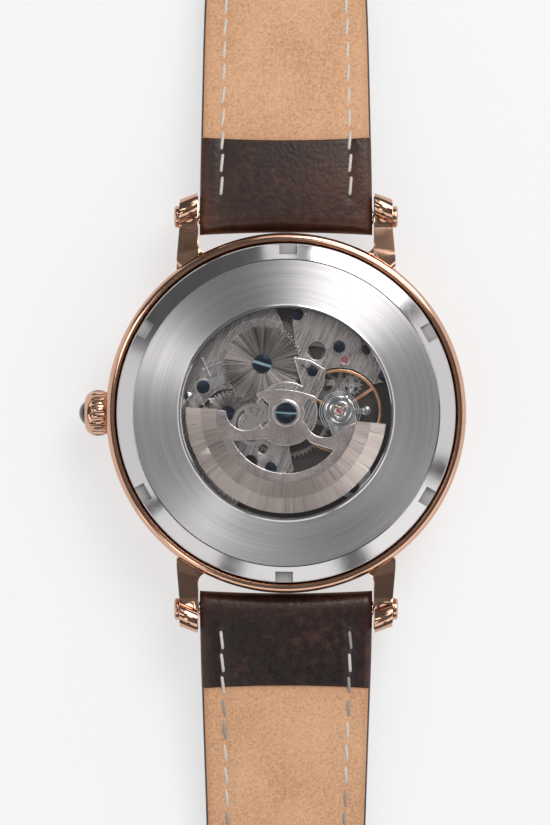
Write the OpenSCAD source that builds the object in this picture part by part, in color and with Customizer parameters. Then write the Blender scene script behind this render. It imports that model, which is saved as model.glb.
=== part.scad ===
// Skeleton wristwatch lying on its crystal, case back up.
// Z points out of the case back, +Y to twelve o'clock, and the crown is at -X.

/* [Case] */
// Outer diameter of the case
case_d = 41; // [40.5:0.1:41.5]
// Distance between the lugs, which is the strap's width
lug_gap = 20; // [19.8:0.1:20.2]
// Height of the highest face of the case back over the crystal's outer face
case_h = 10.8; // [10.8:0.1:11.2]
// Distance from the case axis to a strap bar's axis
bar_y = 22.4; // [22.3:0.1:22.6]
// Height of the strap bars' axis
bar_z = 5.6; // [5.4:0.1:5.8]
// Diameter of the window in the case back
window_d = 23.8; // [23.6:0.1:24]

/* [Strap] */
// Length of the buckle strap, from bar to bar
strap_12_len = 75; // [72:1:80]
// Length of the strap with the holes, from its bar to its tip
strap_6_len = 115; // [110:1:120]
// Strap width where it has finished tapering
strap_w_end = 16; // [16:0.5:16.5]

/* [Movement] */
// Diameter of the main plate
plate_d = 25.6; // [25.4:0.1:25.8]
// Outer radius of the rotor
rotor_r = 11.4; // [11.2:0.1:11.5]
// Height of the winding stem's axis
stem_z = 5.3; // [5.3:0.05:5.35]
// Rim radius of the balance wheel
balance_r = 4.8; // [4.6:0.1:4.8]

/* [Hidden] */

$fn = 64;
steel = "silver";
rose = "#d9a183";
blued = "#2b3445";
plated = "#a49b90";
leather = "#3d211a";
eps = 0.01;
over = 0.5;

// ---- levels, from the crystal at the floor to the back ----
case_r = case_d / 2;
crystal_h = 1.5;
bezel_top = 2.2;
middle_top = 9.3;
back_seat = 8.5;
holder_r = 16.9;
dial_z = 2.8;
dial_t = 0.3;
plate_z = 4;
plate_t = 0.6;
bridge_z = 6.4;
bridge_t = 0.7;
bridge_top = bridge_z + bridge_t;
ratchet_z = 7.2;
auto_z = 7.6;
auto_t = 0.5;
rotor_z = 8.5;
rotor_t = 0.3;
weight_z = 8.4;
weight_t = 0.85;
band_r = 9.7;
band_step = 0.12;
window_z = 9.6;
window_t = 0.8;
plate_r = plate_d / 2;

// ---- wheel train: arbor places, teeth and pitch radii ----
barrel_at = [-2.7, 5.6];
third_at = [3.2, 4.8];
balance_at = [6.1, 0.2];
crown_wheel_at = [-6.6, 0];
great_n = 84;
center_pinion_n = 10;
great_mod = 2 * norm(barrel_at) / (great_n + center_pinion_n);
center_n = 64;
pinion_n = 8;
center_mod = 2 * norm(third_at) / (center_n + pinion_n);
third_n = 60;
third_dir = 20;
third_mod = 2 * 3.74 / (third_n + pinion_n);
fourth_at = third_at + 3.74 * [cos(third_dir), sin(third_dir)];
fourth_n = 70;
escape_pinion_n = 7;
fourth_dir = -75;
fourth_mod = 2 * 2.97 / (fourth_n + escape_pinion_n);
escape_at = fourth_at + 2.97 * [cos(fourth_dir), sin(fourth_dir)];
escape_n = 15;
escape_r = 1.35;
ratchet_n = 60;
crown_wheel_n = 32;
wind_vec = barrel_at - crown_wheel_at;
wind_mod = 2 * norm(wind_vec) / (ratchet_n + crown_wheel_n);
motion_mod = 0.11;
cannon_n = 10;
minute_n = 30;
minute_pinion_n = 8;
hour_n = 32;
motion_d = motion_mod * (cannon_n + minute_n) / 2;
motion_dir = 225;
minute_at = motion_d * [cos(motion_dir), sin(motion_dir)];
rotor_gear_n = 40;
reverser_n = 60;
auto_mod = 0.08;
reverser_dir = 199;
reverser_d = auto_mod * (rotor_gear_n + reverser_n) / 2;
reverser_at = reverser_d * [cos(reverser_dir), sin(reverser_dir)];
contrate_r = 2.28;
winding_n = 20;
winding_pitch = contrate_r * winding_n / crown_wheel_n;
pallet_at = [6.05, 2.65];
arbor_r = 0.2;
pivot_gap = 0.03;

// ---- points and angles ----
function heading(a, b) = atan2(b[1] - a[1], b[0] - a[0]);
function on_arc(c, r, a) = [c[0] + r * cos(a), c[1] + r * sin(a)];
function arc(c, r, a0, a1, n) = [for (i = [0:n]) on_arc(c, r, a0 + (a1 - a0) * i / n)];
// A toothed outline with one tooth centred on the angle called phase
function teeth(n, pitch, add, ded, phase) = [
    for (i = [0:n - 1], k = [0:3])
        on_arc([0, 0], pitch + [-ded, add, add, -ded][k],
            phase + 360 / n * (i + [-0.27, -0.11, 0.11, 0.27][k]))
];
// The phase that puts a gap of the second wheel on the first wheel's tooth
function meshed(n, dir) = dir + 180 + 180 / n;

// ---- general shapes ----
module disc(p, z, r, h) {
    translate([p[0], p[1], z]) cylinder(r = r, h = h);
}
module tube(p, z, r, hole, h) {
    difference() {
        disc(p, z, r, h);
        disc(p, z - over, hole, h + 2 * over);
    }
}
module turned(points) {
    rotate_extrude($fn = 128) polygon(points);
}
module gear(p, z, h, n, mod, phase) {
    translate([p[0], p[1], z])
        linear_extrude(h) polygon(teeth(n, mod * n / 2, 0.8 * mod, 1.05 * mod, phase));
}
// A wheel with a crossed-out web, its pinion and its arbor
module train_wheel(p, z, h, n, mod, phase, spokes, hub_r) {
    rim = mod * n / 2 - 1.05 * mod - 0.35;
    difference() {
        gear(p, z, h, n, mod, phase);
        for (i = [0:spokes - 1]) translate([p[0], p[1], z - over])
            rotate(360 / spokes * i + phase) window_cut(rim, hub_r, 360 / spokes, h + 2 * over);
    }
}
module window_cut(rim, hub_r, span, h) {
    gap = 0.28;
    outer = arc([0, 0], rim, asin(gap / rim), span - asin(gap / rim), 12);
    inner = arc([0, 0], hub_r, span - asin(gap / hub_r), asin(gap / hub_r), 6);
    linear_extrude(h) polygon(concat(outer, inner));
}
module slotted_screw(p, z, head_r, head_h, shank_r, shank_h, slot_dir) {
    difference() {
        union() {
            disc(p, z, head_r, head_h);
            disc(p, z - shank_h, shank_r, shank_h + eps);
        }
        translate([p[0], p[1], z + head_h]) rotate(slot_dir)
            cube([2 * head_r + 1, 0.28 * head_r, 0.9 * head_h], center = true);
    }
}
module along_x(x, y, z) {
    translate([x, y, z]) rotate([0, 90, 0]) children();
}

// ---- case ----
lug_in = lug_gap / 2;
lug_w = 2.15;
lug_root_w = 2.45;
lug_tip = [23.3, 8];
lug_tip_r = 1.3;
lug_slant = 20;
lug_hole_r = 0.65;
notch_n = 6;
notch_first = 29.3;
notch_w = 2;
module lug_blade() {
    // Side view of a lug: it leaves the band, thins into a neck and ends in a rolled tip
    neck = [[13, 3.1], [17.5, 2.9], [21, 3.7], [23.6, 4.4], [24.6, 5.6]];
    back = [[24.7, 7.4], [22.2, 8.3], [21, 8], [18.5, 8.5], [13, 8.6]];
    lug_out = lug_in + lug_w;
    drop = lug_w * tan(lug_slant);
    intersection() {
        translate([lug_in, 0, 0]) rotate([90, 0, 90])
            linear_extrude(lug_root_w) polygon(concat(neck, back));
        // Plan of a lug: it widens towards the band, and its end is cut at a slant
        linear_extrude(12) polygon([
            [lug_in, 12], [lug_in + lug_root_w, 12], [lug_in + lug_root_w, 17.5], [lug_out, 21.1],
            [lug_out, 24.65 - drop], [lug_in, 24.65]
        ]);
    }
    intersection() {
        translate([lug_in + lug_w / 2, lug_tip[0], lug_tip[1]]) rotate([0, 90, -lug_slant])
            cylinder(r = lug_tip_r, h = 2 * lug_w, center = true);
        translate([lug_in + 0.08, 20, 5]) cube([lug_w - 0.14, 6, 6]);
    }
}
module lug_root() {
    // Fillet between the blade's inner face and the band
    translate([0, 0, 3.2]) linear_extrude(5.2)
        polygon(concat([[lug_in + 0.1, 16], [lug_in + 0.1, 19.3], [lug_in, 19.3]],
            arc([lug_in - 1.1, 19.3], 1.1, 0, -62, 6), [[9, 17]]));
}
module four_corners() {
    for (s = [0, 1], t = [0, 1]) mirror([s, 0, 0]) mirror([0, t, 0]) children();
}
module case_middle() {
    color(rose) difference() {
        union() {
            turned([
                [holder_r, bezel_top], [20.3, bezel_top], [20.1, 2.9], [19.95, 3.6],
                [19.95, 7.2], [20.25, 7.8], [case_r, 8.35], [20.45, 8.85], [20.2, 9.2],
                [19.85, middle_top], [19.62, middle_top], [19.34, 8.85], [19.3, back_seat],
                [18.25, back_seat], [18.25, 6.9], [holder_r, 6.9]
            ]);
            four_corners() difference() {
                union() {
                    lug_blade();
                    lug_root();
                }
                translate([0, 0, -over]) cylinder(r = 19.4, h = 12);
            }
        }
        four_corners() along_x(lug_in - 1, bar_y, bar_z) cylinder(r = lug_hole_r, h = 6);
        along_x(-case_r - 1, 0, stem_z) cylinder(r = 1.1, h = 5);
        along_x(-case_r - 1, 0, stem_z) cylinder(r = 2.2, h = 1.4);
    }
}
module bezel() {
    color(rose) turned([
        [17.4, 0.4], [18.4, 0.35], [19.6, 0.8], [20.3, 1.45], [20.4, 1.9], [20.3, bezel_top],
        [16.6, bezel_top], [16.6, crystal_h], [17.4, crystal_h]
    ]);
}
module front_crystal() {
    color("lightblue", 0.4) turned([
        [0, 0], [16.85, 0], [17.1, 0.25], [17.1, crystal_h], [0, crystal_h]
    ]);
}
module gaskets() {
    color("dimgray") {
        tube([0, 0], 0.6, 17.4, 17.1, crystal_h - 0.6);
        tube([0, 0], window_z, 12.5, 12.2, window_t);
        tube([0, 0], 6.9, 18.25, 17.6, 0.3);
    }
}
module case_back() {
    color(steel) difference() {
        turned([
            [16.2, 7.2], [18.22, 7.2], [18.22, back_seat], [19.25, back_seat], [19.25, 9.45],
            [19.15, 9.55], [17.5, 10.32], [17.36, 10.22], [12.35, case_h - 0.06],
            [12.2, case_h], [12.02, case_h], [window_d / 2, case_h - 0.15],
            [window_d / 2, window_z + window_t], [12.5, window_z + window_t], [12.5, 9.3],
            [16.2, 9.3]
        ]);
        for (i = [0:notch_n - 1]) rotate(notch_first + 360 / notch_n * i)
            translate([18, -notch_w / 2, 9.1]) cube([3, notch_w, 3]);
    }
}
module back_window() {
    color("lightblue", 0.3) turned([
        [0, window_z], [12.2, window_z], [12.2, window_z + window_t],
        [0, window_z + window_t]
    ]);
}
module movement_holder() {
    color("gray") difference() {
        turned([
            [plate_r + 0.05, 3.15], [holder_r - 0.05, 3.15], [holder_r - 0.05, 6.85],
            [14.5, 6.85], [13.4, 7.6], [plate_r + 0.3, 7.6], [plate_r + 0.05, 7.4]
        ]);
        along_x(-case_r, 0, stem_z) cylinder(r = 0.8, h = 12);
    }
}
module crown_tube() {
    color(steel) along_x(-20.6, 0, stem_z) difference() {
        cylinder(r = 1.1, h = 3.6);
        translate([0, 0, -over]) cylinder(r = 0.72, h = 6);
    }
}
module strap_bars() {
    color(steel) for (s = [-1, 1]) along_x(-lug_in + 0.05, s * bar_y, bar_z) difference() {
        cylinder(r = 0.9, h = lug_gap - 0.1);
        translate([0, 0, -over]) cylinder(r = 0.55, h = 3 + over);
        translate([0, 0, lug_gap - 0.1 - 3]) cylinder(r = 0.55, h = 3 + over);
    }
}
module bar_screws() {
    head_x = lug_in + lug_w;
    color(rose) four_corners() difference() {
        union() {
            along_x(head_x, bar_y, bar_z) cylinder(r = 1.25, h = 0.45);
            along_x(head_x + 0.45, bar_y, bar_z) cylinder(r1 = 1.25, r2 = 1.05, h = 0.15);
            along_x(7.4, bar_y, bar_z) cylinder(r = 0.5, h = head_x - 7.4 + eps);
        }
        translate([head_x + 0.6, bar_y, bar_z]) cube([0.6, 3, 0.36], center = true);
    }
}

// ---- dial side ----
module dial() {
    ring_in = 12.4;
    color("whitesmoke") {
        difference() {
            union() {
                tube([0, 0], dial_z, 16.5, ring_in, dial_t);
                tube([0, 0], dial_z, 4.2, 3, dial_t);
                for (i = [0:5]) rotate(30 + 60 * i)
                    translate([3.6, -0.45, dial_z]) cube([ring_in - 3.2, 0.9, dial_t]);
            }
            disc([0, 0], dial_z - over, 3, 2);
        }
    }
}
module hour_markers() {
    color(rose) for (i = [0:11]) rotate(30 * i) {
        long = i % 3 == 0 ? 3 : 2.3;
        wide = i % 3 == 0 ? 0.8 : 0.5;
        translate([15.9 - long, -wide / 2, dial_z - 0.35]) cube([long, wide, 0.35]);
    }
}
module hand(z, length, wide) {
    translate([0, 0, z]) linear_extrude(0.15) polygon([
        [-1.8, -0.25], [-0.6, -0.35], [0.25 * length, -wide / 2], [0.5 * length, -wide / 2],
        [length, -0.06], [length, 0.06], [0.5 * length, wide / 2], [0.25 * length, wide / 2],
        [-0.6, 0.35], [-1.8, 0.25]
    ]);
}
// The hands rest at ten past ten, seen from the crystal's side
module minute_hand() {
    color(rose) difference() {
        union() {
            rotate(150) hand(1.9, 12.6, 0.9);
            disc([0, 0], 1.9, 0.8, 0.2);
        }
        disc([0, 0], 1, 0.42, 3);
    }
}
module hour_hand() {
    color(rose) difference() {
        union() {
            rotate(35) hand(2.3, 8.6, 1.2);
            disc([0, 0], 2.3, 1.2, 0.2);
        }
        disc([0, 0], 1, 0.85, 3);
    }
}
module cannon_pinion() {
    color(steel) difference() {
        union() {
            disc([0, 0], 1.9, 0.42, 1.7);
            gear([0, 0], 3.6, 0.3, cannon_n, motion_mod, motion_dir);
        }
        disc([0, 0], 1, arbor_r, 4);
    }
}
module minute_wheel() {
    color(plated) {
        gear(minute_at, 3.6, 0.2, minute_n, motion_mod, meshed(minute_n, motion_dir));
        gear(minute_at, 3.2, 0.4 + eps, minute_pinion_n, motion_mod,
            meshed(minute_pinion_n, motion_dir));
        disc(minute_at, 3.7, 0.17, 0.7);
    }
}
module hour_wheel() {
    color(plated) difference() {
        union() {
            gear([0, 0], 3.2, 0.25, hour_n, motion_mod, motion_dir);
            disc([0, 0], 2.3, 0.85, 1);
        }
        disc([0, 0], 1, 0.48, 4);
    }
}

// ---- plates and bridges ----
pillar_r = 0.7;
module pivot_hole(p) {
    disc(p, plate_z - over, arbor_r + pivot_gap, 5);
}
// Turned recesses that lighten the plate, as (place, radius)
plate_recesses = [[[-2.6, -7.6], 3], [[3.6, -6.8], 2.3], [[3.4, 9.4], 1.6], [[-9.4, 5.4], 1]];
module main_plate() {
    color(steel) difference() {
        union() {
            difference() {
                disc([0, 0], plate_z, plate_r, plate_t);
                for (r = plate_recesses) disc(r[0], plate_z + 0.25, r[1], plate_t);
            }
            tube([0, 0], plate_z, plate_r, plate_r - 0.55, bridge_z - plate_z);
            for (p = pillars) disc(p, plate_z, pillar_r, bridge_z - plate_z);
        }
        pivot_hole([0, 0]);
        pivot_hole(third_at);
        pivot_hole(fourth_at);
        pivot_hole(escape_at);
        pivot_hole(balance_at);
        pivot_hole(pallet_at);
        pivot_hole(minute_at);
        pivot_hole(barrel_at);
        translate([-plate_r - 1, -1.7, plate_z - over]) cube([6.2, 3.4, 6]);
        for (p = pillars) disc(p, plate_z - over, 0.4, 5);
    }
}
// Places of the bridge screws: barrel bridge, train bridge, balance cock, pallet bridge
barrel_screws = [[-11.1, 1.9], [-1.75, -6.25], [-9.9, -4.6]];
train_screws = [[1.3, 11.2], [11.2, 4.2]];
cock_screws = [[7.6, -8.4]];
pillars = concat(barrel_screws, train_screws, cock_screws);
module bridge_holes(places) {
    for (p = places) disc(p, plate_z, 0.4, 5);
}
module barrel_bridge() {
    edge = arc([0, 0], plate_r - 0.1, 97, 241, 24);
    color(steel) difference() {
        translate([0, 0, bridge_z]) linear_extrude(bridge_t)
            polygon(concat(edge, [
                [-4.2, -8.8], [-0.6, -7.4], [0.9, -6.6], [0.2, -3.4], [1, -0.9],
                [1.2, 1.1], [0.6, 2.4], [0.35, 6.4], [-0.4, 10.2]
            ]));
        disc([0, 0], bridge_z - over, 0.75, 2);
        disc(barrel_at, bridge_z - over, 1.03, 2);
        disc(barrel_at, bridge_top - 0.25, 5.1, 1);
        disc(crown_wheel_at, bridge_z - over, 2.75, 2);
        translate([-8.6, 0, bridge_z - over]) cylinder(r = 1.4, h = 2);
        disc([-4.1, -5.6], bridge_z - over, 0.8, 2);
        disc([-2.6, -4.1], bridge_z - over, 0.55, 2);
        disc(click_at, bridge_z - over, 0.4, 2);
        bridge_holes(barrel_screws);
    }
    color(steel) difference() {
        union() {
            disc(crown_wheel_at, bridge_z, 0.6, ratchet_z + 0.34 - bridge_z);
            translate([crown_wheel_at[0], -0.35, bridge_z]) cube([3.2, 0.7, 0.18]);
        }
        disc(crown_wheel_at, bridge_z, 0.36, 2);
    }
}
module train_bridge() {
    edge = arc([0, 0], plate_r - 0.1, 17, 86, 14);
    color(steel) difference() {
        translate([0, 0, bridge_z]) linear_extrude(bridge_t) polygon(concat(
            [[0.75, 10.2], [1.2, 6.6], [1.4, 4.2], [3, 3.7], [6, 3.5], [9.9, 3.3]], edge));
        disc(balance_at, bridge_z - over, balance_r + 0.18, 2);
        disc(third_at, bridge_z - over, 0.42, 2);
        disc(fourth_at, bridge_z - over, 0.42, 2);
        disc([3.5, 7.1], bridge_z - over, 1.05, 2);
        disc([9.2, 7.3], bridge_z - over, 0.55, 2);
        bridge_holes(train_screws);
    }
}
module balance_cock() {
    color(steel) difference() {
        translate([0, 0, bridge_top + 0.45]) linear_extrude(0.5) polygon(concat(
            arc(balance_at, 1.75, 190, 10, 16),
            [[8.3, -3], [9.6, -6], [9.6, -7.6]],
            arc([7.6, -8.4], 1.5, 10, -150, 8), [[5.2, -6.4], [5.4, -3]]));
        disc(balance_at, bridge_z, 0.95, 3);
        bridge_holes(cock_screws);
    }
    color(steel) difference() {
        translate([7.6, -8.4, bridge_z]) cylinder(r = 1.2, h = 1.15 + eps);
        bridge_holes(cock_screws);
    }
}
module pallet_bridge() {
    color(steel) difference() {
        union() {
            translate([0, 0, 5.5]) linear_extrude(0.3) polygon([
                [5.3, 3.4], [6.7, 3.4], [6.7, 1.9], [5.3, 1.9]
            ]);
            disc([4.3, 3.5], plate_z + plate_t, 0.4, 0.9);
            translate([4, 3.1, 5.5]) cube([1.6, 0.7, 0.3]);
        }
        pivot_hole(pallet_at);
    }
}
module automatic_bridge() {
    color(steel) difference() {
        union() {
            translate([0, 0, auto_z]) linear_extrude(auto_t) polygon(concat(
                [[0.85, 6.4], [2.8, 6], [4.5, 5], [4.3, 3.2], [3.6, 1.8]],
                arc([0, 0], 3.6, 20, -32, 8), arc([0, 0], 3.6, -70, -140, 8),
                arc(reverser_at, 1.7, -130, -230, 8), arc([0, 0], 3.6, 165, 60, 10)));
            disc([3, 4.75], bridge_top, 0.8, auto_z - bridge_top + eps);
            disc([0.2, -2.95], bridge_top, 0.5, auto_z - bridge_top + eps);
            disc([0, 0], auto_z + auto_t - eps, 0.55, 0.8);
        }
        disc([0, 0], auto_z - over, 0.3, 3);
        disc([3, 4.75], bridge_z, 0.4, 3);
        disc([0.2, -2.95], bridge_z, 0.28, 3);
        disc([-1.9, 1.5], auto_z - over, 0.6, 2);
    }
}
module jewel(p, z, hole) {
    tube(p, z, 0.42, hole, 0.35);
}
module jewels() {
    color("crimson") {
        jewel(third_at, bridge_z + 0.35, 0.23);
        jewel(fourth_at, bridge_z + 0.35, 0.23);
        tube(balance_at, 7.7, 0.5, 0.12, 0.25);
        tube([0, 0], bridge_z + 0.3, 0.75, arbor_r + pivot_gap, 0.4);
    }
}
module movement_screws() {
    color(blued) {
        for (p = concat(barrel_screws, train_screws))
            slotted_screw(p, bridge_top, p == barrel_screws[0] ? 0.45 : 0.65, 0.3, 0.36, 1.6,
                20 + 40 * p[0]);
        slotted_screw(cock_screws[0], bridge_top + 0.95, 0.7, 0.3, 0.36, 2.6, 35);
        slotted_screw([3, 4.75], auto_z + auto_t, 0.6, 0.25, 0.36, 0.9, 60);
        slotted_screw([0.2, -2.95], auto_z + auto_t, 0.42, 0.2, 0.24, 0.9, 40);
        slotted_screw(crown_wheel_at, ratchet_z + 0.36, 0.8, 0.25, 0.33, 0.9, 10);
        slotted_screw([6.05, 7.55], bridge_top, 0.7, 0.25, 0.3, 0, 75);
        slotted_screw(click_at, ratchet_z + 0.34, 0.75, 0.3, 0.33, 0.9, 100);
    }
}
module shock_setting() {
    color(plated) {
        tube(balance_at, bridge_top + 0.95, 1.2, 0.62, 0.3);
        tube(balance_at, bridge_top + 0.95, 0.55, 0.3, 0.22);
        disc(balance_at, bridge_top + 0.95, 0.3, 0.12);
    }
}
module regulator() {
    pointer = [7.6, 3.2];
    color(steel) difference() {
        union() {
            disc(balance_at, bridge_top + 0.95, 1.62, 0.25);
            translate([balance_at[0], balance_at[1], bridge_top + 0.95])
                rotate(heading(balance_at, pointer))
                translate([1.3, -0.27, 0]) cube([2, 0.54, 0.25]);
            translate([balance_at[0] + 1.3, balance_at[1] - 0.3, bridge_top + 0.95])
                cube([1.7, 0.6, 0.25]);
            disc([9.1, 0.25], bridge_top + 0.6, 0.5, 0.6);
        }
        disc(balance_at, bridge_top, 1.24, 3);
        disc(on_arc(balance_at, 2.1, 63), bridge_top, 0.12, 3);
        disc(on_arc(balance_at, 2.9, 63), bridge_top, 0.12, 3);
    }
}
module hairspring() {
    turns = 8;
    pitch = 0.24;
    wire = 0.035;
    first = 0.5;
    steps = 24 * turns;
    color("steelblue") translate([balance_at[0], balance_at[1], 7.15]) linear_extrude(0.2)
        polygon(concat(
            [for (i = [0:steps]) on_arc([0, 0], first + pitch * i / 24 + wire, 15 * i)],
            [for (i = [steps:-1:0]) on_arc([0, 0], first + pitch * i / 24 - wire, 15 * i)]));
}
click_at = [-9.45, 2.95];
module click() {
    color(steel) difference() {
        union() {
            disc(click_at, ratchet_z, 1.05, 0.3);
            translate([0, 0, ratchet_z]) linear_extrude(0.3) polygon([
                [-8.9, 3.85], [-7.6, 4.25], [-7.25, 4.4], [-6.75, 3.35], [-7.4, 3.2], [-8.6, 2.5]
            ]);
        }
        disc(click_at, ratchet_z - over, 0.36, 2);
    }
}
module click_spring() {
    color(steel) {
        for (w = [[[-9.5, 6.2], [-8.6, 4.2]], [[-9.4, 5], [-7.4, 5.8]]])
            translate([w[0][0], w[0][1], ratchet_z + 0.42 + w[0][1] / 40])
                rotate([0, 90, heading(w[0], w[1])]) cylinder(r = 0.07, h = norm(w[1] - w[0]));
        disc([-9.5, 6.2], bridge_top, 0.16, 0.65);
        disc([-9.4, 5], bridge_top, 0.16, 0.6);
    }
}

// ---- barrel and winding ----
module barrel() {
    drum_r = 5.05;
    color(plated) difference() {
        union() {
            gear(barrel_at, 4.7, 0.3, great_n, great_mod, heading(barrel_at, [0, 0]));
            disc(barrel_at, 4.7, drum_r, 1.1);
        }
        disc(barrel_at, 4.95, drum_r - 0.3, 0.6);
        disc(barrel_at, 4, 0.64, 3);
    }
}
module mainspring() {
    turns = 7;
    steps = 24 * turns;
    wire = 0.07;
    first = 1.3;
    pitch = 0.46;
    color("steelblue") translate([barrel_at[0], barrel_at[1], 5]) linear_extrude(0.5)
        polygon(concat(
            [for (i = [0:steps]) on_arc([0, 0], first + pitch * i / 24 + wire, 15 * i)],
            [for (i = [steps:-1:0]) on_arc([0, 0], first + pitch * i / 24 - wire, 15 * i)]));
}
module barrel_arbor() {
    color(steel) difference() {
        union() {
            disc(barrel_at, 4.05, 0.2, 0.7);
            disc(barrel_at, 4.62, 0.6, 1.4);
            disc(barrel_at, 4.98, 1.1, 0.54);
            disc(barrel_at, 5.9, 1, ratchet_z - 5.9);
        }
        disc(barrel_at, 6, 0.36, 3);
    }
}
module ratchet_wheel() {
    color(steel) difference() {
        gear(barrel_at, ratchet_z, 0.35, ratchet_n, wind_mod, heading(barrel_at, crown_wheel_at));
        disc(barrel_at, 6, 0.36, 3);
    }
}
module ratchet_screw() {
    color(blued) slotted_screw(barrel_at, ratchet_z + 0.35, 1.05, 0.35, 0.34, 1.4, -17);
}
module crown_wheel() {
    dir = heading(crown_wheel_at, barrel_at);
    tooth = 0.17;
    color(steel) difference() {
        union() {
            gear(crown_wheel_at, ratchet_z, 0.35, crown_wheel_n, wind_mod,
                meshed(crown_wheel_n, dir + 180));
            tube(crown_wheel_at, stem_z + winding_pitch + 0.14, 2.1, 1.5,
                ratchet_z - stem_z - winding_pitch);
            for (i = [0:crown_wheel_n - 1])
                translate([crown_wheel_at[0], crown_wheel_at[1], stem_z + winding_pitch - 0.1])
                rotate(360 / crown_wheel_n * (i + 0.5)) translate([1.9, -tooth / 2, 0])
                cube([0.55, tooth, ratchet_z - stem_z - winding_pitch + 0.1 + eps]);
        }
        disc(crown_wheel_at, 6, 0.63, 3);
    }
}
module winding_pinion() {
    color(steel) along_x(-9.35, 0, stem_z) rotate(180) difference() {
        linear_extrude(0.7)
            polygon(teeth(winding_n, winding_pitch, 0.1, 0.16, 0));
        translate([0, 0, -over]) cylinder(r = 0.63, h = 2);
    }
}
module sliding_pinion() {
    color(steel) along_x(-10.9, 0, stem_z) difference() {
        union() {
            cylinder(r = 1, h = 0.55);
            cylinder(r = 0.8, h = 1.1);
            translate([0, 0, 1.1 - eps]) cylinder(r = 1, h = 0.4);
        }
        cube([0.82, 0.82, 6], center = true);
    }
}
module winding_stem() {
    square_side = 0.76;
    color(steel) {
        along_x(-20.9, 0, stem_z) cylinder(r = 0.6, h = 7.6);
        translate([-13.4, -square_side / 2, stem_z - square_side / 2])
            cube([4, square_side, square_side]);
        along_x(-9.4, 0, stem_z) cylinder(r = 0.38, h = 1.4);
    }
}
flute_n = 20;
crown_r = 2.65;
module crown() {
    color(rose) along_x(-20.15, 0, stem_z) mirror([0, 0, 1]) difference() {
        turned([
            [0, 0.35], [1.75, 0.35], [2.1, 0.1], [2.35, 0.25], [2.58, 0.75],
            [crown_r, 1.35], [2.55, 1.95], [2.2, 2.5], [1.8, 2.78], [1.5, 2.85], [0, 2.85]
        ]);
        for (i = [0:flute_n - 1]) rotate(360 / flute_n * i)
            translate([crown_r + 0.18, 0, -1]) cylinder(r = 0.36, h = 5);
        translate([0, 0, -1]) cylinder(r = 1.2, h = 1.6);
        translate([0, 0, -1]) cylinder(r = 0.6, h = 2.1);
        translate([0, 0, 2.5]) cylinder(r = 1.28, h = 2);
    }
}
module cabochon() {
    dome_r = 1.65;
    color("#2a1d22") along_x(-20.15, 0, stem_z) mirror([0, 0, 1]) intersection() {
        translate([0, 0, 2.5]) cylinder(r = 1.28, h = 3);
        translate([0, 0, 3.52 - dome_r]) sphere(r = dome_r);
    }
}

// ---- going train ----
module center_wheel() {
    color(plated) {
        train_wheel([0, 0], 5.9, 0.15, center_n, center_mod, heading([0, 0], third_at), 5, 0.9);
        gear([0, 0], 4.65, 0.45, center_pinion_n, great_mod,
            meshed(center_pinion_n, heading(barrel_at, [0, 0])));
        disc([0, 0], 2, arbor_r - 0.01, 5.3);
        disc([0, 0], 4.65, 0.4, 1.4);
    }
}
module third_wheel() {
    color(plated) {
        train_wheel(third_at, 6.15, 0.13, third_n, third_mod, third_dir, 4, 0.7);
        gear(third_at, 5.85, 0.3 + eps, pinion_n, center_mod,
            meshed(pinion_n, heading([0, 0], third_at)));
        disc(third_at, 4.05, arbor_r, 3);
    }
}
module fourth_wheel() {
    color(plated) {
        train_wheel(fourth_at, 4.75, 0.13, fourth_n, fourth_mod, fourth_dir, 4, 0.6);
        gear(fourth_at, 6.05, 0.3, pinion_n, third_mod, meshed(pinion_n, third_dir));
        disc(fourth_at, 4.05, arbor_r, 3);
    }
}
module escape_wheel() {
    tips = [for (i = [0:escape_n - 1], k = [0:2])
        on_arc([0, 0], [escape_r - 0.3, escape_r, escape_r - 0.34][k],
            360 / escape_n * (i + [-0.25, 0.02, 0.3][k]))];
    color(steel) {
        difference() {
            translate([escape_at[0], escape_at[1], 5.1]) linear_extrude(0.13) polygon(tips);
            for (i = [0:3]) translate([escape_at[0], escape_at[1], 5])
                rotate(90 * i) window_cut(escape_r - 0.48, 0.42, 90, 1);
        }
        gear(escape_at, 4.7, 0.4 + eps, escape_pinion_n, fourth_mod,
            meshed(escape_pinion_n, fourth_dir));
        disc(escape_at, 4.05, 0.12, 1.5);
    }
}
module pallet_fork() {
    to_wheel = heading(pallet_at, escape_at);
    to_staff = heading(pallet_at, balance_at);
    color(steel) translate([pallet_at[0], pallet_at[1], 0]) {
        translate([0, 0, 5]) cylinder(r = 0.14, h = 0.75);
        translate([0, 0, 4.1]) cylinder(r = 0.14, h = 1);
        translate([0, 0, 5.1]) difference() {
            rotate(to_staff) translate([-0.4, -0.15, 0]) cube([2.05, 0.3, 0.16]);
            rotate(to_staff) translate([1.35, -0.07, -1]) cube([1, 0.14, 2]);
        }
        for (a = [-42, 42]) translate([0, 0, 5.1]) rotate(to_wheel + a)
            translate([0, -0.13, 0]) cube([0.62, 0.26, 0.16]);
    }
}
module balance_wheel() {
    rim_w = 0.34;
    color("#c98a63") {
        tube(balance_at, 6.5, balance_r, balance_r - rim_w, 0.42);
        difference() {
            translate([balance_at[0], balance_at[1], 6.6]) union() {
                for (a = [35, 155, 275]) rotate(a) translate([0, -0.19, 0])
                    cube([balance_r - rim_w / 2, 0.38, 0.2]);
                cylinder(r = 0.75, h = 0.2);
            }
            disc(balance_at, 6, 0.3, 2);
        }
    }
}
module balance_staff() {
    color(steel) {
        disc(balance_at, 4.1, 0.1, 3.82);
        disc(balance_at, 4.7, 0.3, 2.85);
        disc(balance_at, 5.35, 0.62, 0.15);
        disc([balance_at[0], balance_at[1] + 0.45], 5.05, 0.06, 0.35);
    }
}

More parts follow.
